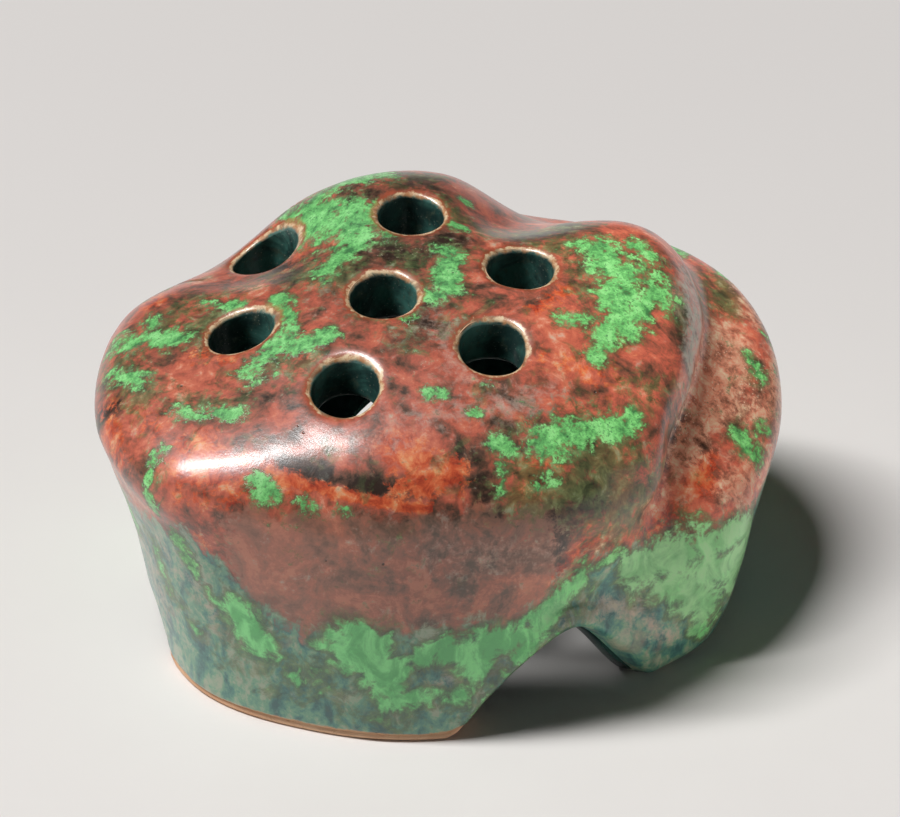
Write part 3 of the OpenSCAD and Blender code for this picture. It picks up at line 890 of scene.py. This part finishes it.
# ---------- materials
class Nodes:
    """Short names for building a material's nodes."""

    def __init__(self, name):
        self.material = bpy.data.materials.new(name)
        self.material.use_nodes = True
        self.tree = self.material.node_tree
        self.tree.nodes.clear()
        self.out = self.tree.nodes.new("ShaderNodeOutputMaterial")
        self.shader = self.tree.nodes.new("ShaderNodeBsdfPrincipled")
        self.tree.links.new(self.shader.outputs[0], self.out.inputs[0])
        self.coords = self.tree.nodes.new("ShaderNodeTexCoord").outputs["Object"]

    def link(self, value, socket):
        if isinstance(value, bpy.types.NodeSocket):
            self.tree.links.new(value, socket)
        elif isinstance(value, tuple) and len(value) == 3 and socket.type == "RGBA":
            socket.default_value = (*value, 1)
        else:
            socket.default_value = value

    def node(self, kind, output, inputs, **settings):
        """One output of a new node, with values or other outputs on its inputs."""
        node = self.tree.nodes.new("ShaderNode" + kind)
        for name, value in settings.items():
            setattr(node, name, value)
        for name, value in inputs.items():
            self.link(value, node.inputs[name])
        return node.outputs[output]

    def noise(self, size_mm, detail=4, rough=0.55, warp=0.0, offset=0.0, stretch=1.0):
        shift = (offset, offset * 0.7, -offset)
        moved = self.node("VectorMath", 0, {0: self.coords, 1: (1, 1, stretch), 2: shift},
                          operation="MULTIPLY_ADD")
        return self.node("TexNoise", "Fac", dict(Vector=moved, Scale=1 / (size_mm * MM), Detail=detail,
                                                 Roughness=rough, Distortion=warp))

    def cells(self, size_mm, offset):
        shift = (offset, -offset, offset * 0.5)
        moved = self.node("VectorMath", 0, {0: self.coords, 1: shift}, operation="ADD")
        return self.node("TexVoronoi", "Distance", dict(Vector=moved, Scale=1 / (size_mm * MM)))

    def field(self, name):
        return self.node("Attribute", "Fac", {}, attribute_name=name)

    def position(self, axis):
        """The object's own coordinate along an axis."""
        return self.node("SeparateXYZ", axis, {0: self.coords})

    def math(self, operation, *values):
        return self.node("Math", 0, dict(enumerate(values)), operation=operation)

    def ramp(self, value, low, high, to_low=0.0, to_high=1.0):
        """Smooth step of a value between two levels."""
        return self.node("MapRange", "Result", {"Value": value, "From Min": low, "From Max": high,
                                                "To Min": to_low, "To Max": to_high},
                         interpolation_type="SMOOTHSTEP")

    def colours(self, value, stops):
        node = self.tree.nodes.new("ShaderNodeValToRGB")
        ramp = node.color_ramp
        while len(ramp.elements) < len(stops):
            ramp.elements.new(1)
        for element, (place, *colour) in zip(ramp.elements, stops):
            element.position = place
            element.color = (*colour, 1)
        self.link(value, node.inputs["Fac"])
        return node.outputs["Color"]

    def mix(self, share, a, b, blend="MIX"):
        return self.node("Mix", "Result", dict(Factor=share, A=a, B=b), data_type="RGBA", blend_type=blend)

    def bump(self, height, distance_mm, strength, **normal):
        return self.node("Bump", "Normal", dict(Strength=strength, Distance=distance_mm * MM, Height=height,
                                                **normal))

    def finish(self, **sockets):
        for name, value in sockets.items():
            self.link(value, self.shader.inputs[name.replace("_", " ")])
        return self.material


def bare_clay():
    m = Nodes("bare_clay")
    grain = m.noise(0.9, 6, 0.7)
    colour = m.mix(m.ramp(m.noise(9, 3), 0.35, 0.65), (0.68, 0.39, 0.23), (0.80, 0.53, 0.34))
    colour = m.mix(m.ramp(grain, 0.55, 0.75), colour, (0.45, 0.23, 0.12))
    return m.finish(Base_Color=colour, Roughness=0.85, Normal=m.bump(grain, 0.12, 0.8))


# The glazes' colours: a level of the noise that mottles each, and its colour there
RED = [(0.0, 0.035, 0.02, 0.014), (0.2, 0.11, 0.055, 0.035), (0.4, 0.29, 0.09, 0.055),
       (0.58, 0.49, 0.115, 0.07), (0.8, 0.63, 0.17, 0.095), (1.0, 0.78, 0.38, 0.25)]
FIRE = [(0.15, 0.30, 0.035, 0.02), (0.45, 0.62, 0.10, 0.035),
        (0.7, 0.78, 0.22, 0.08), (0.95, 0.85, 0.42, 0.17)]
BROWN = [(0.1, 0.12, 0.08, 0.055), (0.4, 0.25, 0.125, 0.085),
         (0.65, 0.38, 0.14, 0.09), (0.9, 0.52, 0.20, 0.125)]
OLIVE = [(0.15, 0.03, 0.045, 0.02), (0.5, 0.10, 0.13, 0.05), (0.85, 0.20, 0.27, 0.10)]
TEAL = [(0.05, 0.04, 0.125, 0.125), (0.35, 0.075, 0.24, 0.20),
        (0.62, 0.17, 0.36, 0.23), (0.9, 0.36, 0.42, 0.30)]
TAN = [(0.1, 0.26, 0.10, 0.06), (0.45, 0.62, 0.27, 0.17), (0.7, 0.78, 0.46, 0.30), (0.95, 0.88, 0.66, 0.46)]
GREEN = [(0.1, 0.05, 0.19, 0.06), (0.35, 0.12, 0.41, 0.12), (0.6, 0.18, 0.58, 0.17), (0.95, 0.29, 0.74, 0.26)]
PALE_BROWN = (0.62, 0.24, 0.16)
DEEP_TEAL = (0.04, 0.13, 0.13)
TEAL_OVER_CLAY = (0.30, 0.25, 0.18)
# the milky haze, partly glaze and partly painted light
MILKY_AND_PAINTED_LIGHT = (0.54, 0.40, 0.33)
# the grey sheen, partly grey glaze and partly painted reflection
GREY_SHEEN = (0.42, 0.46, 0.38)
GREEN_PIT = (0.07, 0.26, 0.08)
BAND_DARK, BAND_LIGHT = (0.14, 0.56, 0.19), (0.28, 0.86, 0.32)
MINT_DARK, MINT_LIGHT = (0.17, 0.44, 0.17), (0.36, 0.66, 0.33)
# pale specks painted as glints of the lamp
PAINTED_GLINT = (0.72, 0.60, 0.46)
# the second colour is painted light, lifting the coat's colour on the right side
NO_CHANGE, PAINTED_LIGHT_RIGHT = (1.0, 1.0, 1.0), (1.75, 1.65, 1.6)
RED_NEAR_RIM = (0.42, 0.085, 0.035)
RIM_CREAM, RIM_TAN, RIM_DARK = (0.82, 0.62, 0.38), (0.50, 0.22, 0.09), (0.22, 0.09, 0.045)
BORE_DARK, BORE_TEAL, BORE_OLIVE = (0.02, 0.06, 0.055), (0.08, 0.24, 0.20), (0.10, 0.14, 0.10)
BORE_SPECK = (0.42, 0.46, 0.40)
FOOT_EDGE = (0.55, 0.30, 0.15)
PIN_HOLE = (0.02, 0.015, 0.012)


def red_green_glaze():
    m = Nodes("red_green_glaze")
    clouds = m.noise(7, 5, 0.62, 0.7)
    flecks = m.noise(2.4, 6, 0.66, 0.5, 0.03)
    grain = m.noise(0.45, 4, 0.7, 0, 0.05)
    streaks = m.noise(3.2, 6, 0.62, 0.6, 0.07, stretch=0.55)
    ragged = m.noise(1.5, 8, 0.7, 0.3, 0.11)
    blotches = m.noise(4.5, 5, 0.6, 0.8, 0.13)
    across, height = m.position(0), m.position(2)

    def swayed(value, *sways):
        """Value moved up and down by each noise, by the amount that follows it."""
        for noise, amount in zip(sways[::2], sways[1::2]):
            value = m.math("MULTIPLY_ADD", m.math("SUBTRACT", noise, 0.5), amount, value)
        return value

    def patch(name, low, high, amount):
        return m.ramp(swayed(m.field(name), ragged, amount), low, high)

    def share(value, amount):
        return m.math("MULTIPLY", value, amount)

    def laid(under, where, amount, over):
        """One colour over another, at most by that amount."""
        return m.mix(share(where, amount), under, over)

    # the red glaze, from nearly black through brown and ox-blood to salmon
    warmth = swayed(0.52, clouds, 2.2, flecks, 1.1, grain, 0.35)
    warmth = m.math("MULTIPLY_ADD", m.field("orange"), 0.15, warmth)
    # the dark field darkens the red: dark glaze, and painted shade in the crease by the right lobe
    warmth = m.math("MULTIPLY_ADD", m.field("dark"), -0.6, warmth)
    fire = m.colours(swayed(0.5, flecks, 2.0, clouds, 1.2), FIRE)
    red = laid(m.colours(warmth, RED), patch("orange", 0.34, 0.66, 2.4), 0.95, fire)
    brown = m.colours(swayed(0.5, clouds, 2.8, ragged, 1.8), BROWN)
    paler = m.math("ADD", m.ramp(across, 0 * MM, -32 * MM, 0, 0.3), m.ramp(across, 6 * MM, 22 * MM, 0, 0.35))
    brown = m.mix(paler, brown, PALE_BROWN)
    colour = laid(red, patch("matt", 0.3, 0.75, 2.2), 0.92, brown)

    # dark olive where the green soaked in thinly
    olive = m.colours(swayed(0.5, flecks, 2.0), OLIVE)
    washes = share(m.ramp(blotches, 0.53, 0.68), m.ramp(m.field("matt"), 0.8, 0.2))
    colour = laid(colour, washes, 0.5, olive)
    colour = laid(colour, patch("olive", 0.3, 0.8, 2.6), 0.8, olive)

    # the teal glaze low on the walls
    teal = m.colours(swayed(0.5, streaks, 2.8, ragged, 1.4), TEAL)
    teal = m.mix(m.ramp(blotches, 0.5, 0.66, 0, 0.4), teal, DEEP_TEAL)
    teal = m.mix(m.ramp(clouds, 0.56, 0.68, 0, 0.5), teal, TEAL_OVER_CLAY)
    line = swayed(m.field("line"), streaks, 13, ragged, 9)
    colour = m.mix(m.ramp(line, -2.0, 1.6), colour, teal)

    # milky, grey and tan places: the milky haze is partly where the glaze pooled or ran thin and partly
    # painted light (a painted sheen by the front holes and on the left wall, paint lifting the right lobe
    # where the cap shades it), the grey sheen is partly glaze and partly painted reflection along the right
    # flank, and the tan is where it pooled or ran thin
    colour = laid(colour, patch("haze", 0.25, 0.9, 2.2), 0.6, MILKY_AND_PAINTED_LIGHT)
    # painted reflection, over some grey glaze: the sheen along the right flank
    sheen = m.ramp(swayed(m.field("sheen"), ragged, 1.4, flecks, 2.6), 0.2, 1.0)
    colour = laid(colour, sheen, 0.75, GREY_SHEEN)
    tan = m.colours(swayed(0.5, flecks, 2.0, ragged, 1.6), TAN)
    colour = laid(colour, patch("tan", 0.2, 0.75, 1.6), 0.85, tan)

    # the green, thick in the middle of a patch and broken into flecks at its edge
    fine = share(swayed(0.0, grain, 0.8, ragged, 1.6), m.ramp(height, 16 * MM, 36 * MM, 0.3, 1.0))
    spread = m.math("ADD", swayed(m.field("green"), blotches, 1.6), fine)
    colour = m.mix(m.ramp(spread, 0.16, 0.5, 0, 0.75), colour, olive)
    green = m.colours(swayed(0.5, ragged, 2.4, streaks, 2.4), GREEN)
    green = m.mix(m.ramp(grain, 0.32, 0.5), GREEN_PIT, green)
    band = m.mix(m.ramp(streaks, 0.40, 0.58), BAND_DARK, BAND_LIGHT)
    green = m.mix(m.ramp(height, 27 * MM, 20 * MM, 0, 0.8), green, band)
    mint = m.mix(m.ramp(blotches, 0.38, 0.62), MINT_DARK, MINT_LIGHT)
    green = laid(green, patch("mint", 0.2, 0.8, 1.4), 0.8, mint)
    colour = m.mix(m.ramp(spread, 0.42, 0.74), colour, green)
    # painted glints: pale specks of the lamp's light on the glaze
    frost = share(m.ramp(m.cells(0.55, 0.09), 0.26, 0.14), patch("frost", 0.2, 0.8, 1.4))
    colour = laid(colour, frost, 0.75, PAINTED_GLINT)

    # painted light: the whole coat's colour is lifted towards the right, where the key lamp from the left
    # leaves it darker
    painted_light_right = m.mix(m.ramp(across, -5 * MM, 40 * MM), NO_CHANGE, PAINTED_LIGHT_RIGHT)
    colour = m.mix(1.0, colour, painted_light_right, "MULTIPLY")

    # the rims, where the glaze runs thin, and the bores inside them
    rim = swayed(m.field("rim"), flecks, 2.4, ragged, 1.8)
    colour = laid(colour, m.ramp(rim, 1.6, 0.6), 0.7, RED_NEAR_RIM)
    cream = m.mix(m.ramp(ragged, 0.40, 0.62), RIM_CREAM, RIM_TAN)
    cream = laid(cream, m.ramp(clouds, 0.52, 0.62), 0.8, RIM_DARK)
    colour = m.mix(m.ramp(rim, 0.7, 0.25), colour, cream)
    bore = m.mix(m.ramp(clouds, 0.4, 0.62), BORE_DARK, BORE_TEAL)
    bore = m.mix(m.ramp(ragged, 0.5, 0.7), bore, BORE_OLIVE)
    bore = laid(bore, m.ramp(m.cells(0.7, 0.02), 0.2, 0.1), 0.5, BORE_SPECK)
    colour = m.mix(m.ramp(rim, -0.1, -1.0), colour, bore)

    # the thin brown edge at the foot, and pin-holes all over
    colour = m.mix(m.ramp(swayed(m.field("edge"), grain, 0.9), 0.55, 0.1), colour, FOOT_EDGE)
    pits = m.ramp(m.cells(6.5, 0.04), 0.045, 0.02)
    colour = laid(colour, pits, 0.8, PIN_HOLE)

    dusty = swayed(m.math("MULTIPLY_ADD", m.ramp(spread, 0.4, 0.7), 0.12, 0.40), flecks, 0.5)
    relief = m.math("MULTIPLY_ADD", m.ramp(spread, 0.4, 0.6), 0.5, share(flecks, 0.9))
    relief = m.math("SUBTRACT", relief, share(pits, 1.5))
    normal = m.bump(grain, 0.02, 0.7, Normal=m.bump(relief, 0.06, 0.7))
    return m.finish(Base_Color=colour, Roughness=dusty, Normal=normal, Coat_Weight=0.75, Coat_Roughness=0.2,
                    Coat_Normal=normal)


def teal_glaze():
    m = Nodes("teal_glaze")
    tone = m.noise(6, 5, 0.6)
    colour = m.mix(m.ramp(tone, 0.4, 0.65), (0.008, 0.03, 0.028), (0.025, 0.085, 0.07))
    return m.finish(Base_Color=colour, Roughness=0.25, Normal=m.bump(tone, 0.15, 0.4))


# ---------- the object
def placed(obj, material, slot, *nodes):
    obj.data.materials.clear()
    obj.data.materials.append(material)
    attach(obj, "root")
    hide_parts(*nodes)
    return obj


skin = build_skin()
P = skin["points"]
fields = {kind: brushed(P, kind) for kind in WALL_STROKES}
fields.update(line=below_the_line(P), matt=matt_field(P), rim=from_rim(P, skin["depth"]), edge=skin["edge"])
glaze = red_green_glaze()
coat = closed_layer("glaze_coat", P, skin["coat_back"], skin["coat"], skin["normals"], fields)
placed(coat, glaze, "red_green_glaze", "outer_glaze")
for hole, faces in skin["linings"].items():
    lining = closed_layer("hole_lining_" + hole, P, skin["lining_back"], faces, skin["normals"], fields)
    placed(lining, glaze, "teal_glaze", "stem_hole_glaze_" + hole)
placed(clay_shell(), bare_clay(), "bare_clay", "clay_body")
placed(hollow_glaze(), teal_glaze(), "teal_glaze", "cavity_glaze")

# ---------- floor, light and camera
TARGET = np.array([2.0, 0.0, 36.5])
ELEVATION = math.radians(34)
DISTANCE = 0.8
LENS = 211
# Name, direction, distance, size and power
LAMPS = [
    ("key_softbox", (-0.46, 0.02, 0.90), 5.0, (0.45, 2.7), 275),
    ("white_card_right", (0.85, -0.40, 0.16), 0.8, (1.0, 0.26), 0.5),
    ("white_card_left", (-0.85, -0.50, 0.16), 0.8, (1.0, 0.26), 0.45),
]
WORLD_COLOUR = (1.0, 0.99, 0.98, 1)
WORLD_STRENGTH = 0.005


def floor():
    """Pale paper, with painted shade making it a little greyer towards the back, as a lamp's falloff would."""
    bpy.ops.mesh.primitive_plane_add(size=8, location=(0, 0, 0))
    plane = bpy.context.object
    plane.name = "floor"
    m = Nodes("pale_paper")
    grain = m.noise(0.8, 4, 0.6)
    colour = m.mix(m.ramp(m.noise(60, 4, 0.6), 0.3, 0.7), (0.79, 0.76, 0.735), (0.81, 0.78, 0.755))
    # painted shade: the paper darkens towards the back
    away = m.math("MULTIPLY", m.ramp(m.position(1), -60 * MM, 180 * MM), 0.9)
    colour = m.mix(away, colour, (0.70, 0.67, 0.65))
    plane.data.materials.append(m.finish(Base_Color=colour, Roughness=0.8, Normal=m.bump(grain, 0.03, 0.3)))


def area_light(name, direction, distance, size, power):
    data = bpy.data.lights.new(name, "AREA")
    data.shape = "RECTANGLE"
    data.size, data.size_y = size
    data.energy = power
    lamp = bpy.data.objects.new(name, data)
    bpy.context.collection.objects.link(lamp)
    lamp.visible_camera = False
    away = Vector(direction).normalized()
    lamp.location = aim + away * distance
    lamp.rotation_euler = away.to_track_quat("Z", "Y").to_euler()


floor()
aim = Vector(to_part(TARGET).tolist())
for lamp in LAMPS:
    area_light(*lamp)
world = bpy.data.worlds.new("studio")
bpy.context.scene.world = world
world.use_nodes = True
world.node_tree.nodes["Background"].inputs["Color"].default_value = WORLD_COLOUR
world.node_tree.nodes["Background"].inputs["Strength"].default_value = WORLD_STRENGTH
camera_data = bpy.data.cameras.new("camera")
camera_data.lens = LENS
camera_data.sensor_width = 36
camera_data.clip_start = 0.05
camera = bpy.data.objects.new("camera", camera_data)
bpy.context.collection.objects.link(camera)
camera.location = aim + Vector((0, -math.cos(ELEVATION), math.sin(ELEVATION))) * DISTANCE
camera.rotation_euler = (math.pi / 2 - ELEVATION, 0, 0)
bpy.context.scene.camera = camera
bpy.context.scene.view_settings.view_transform = "Standard"
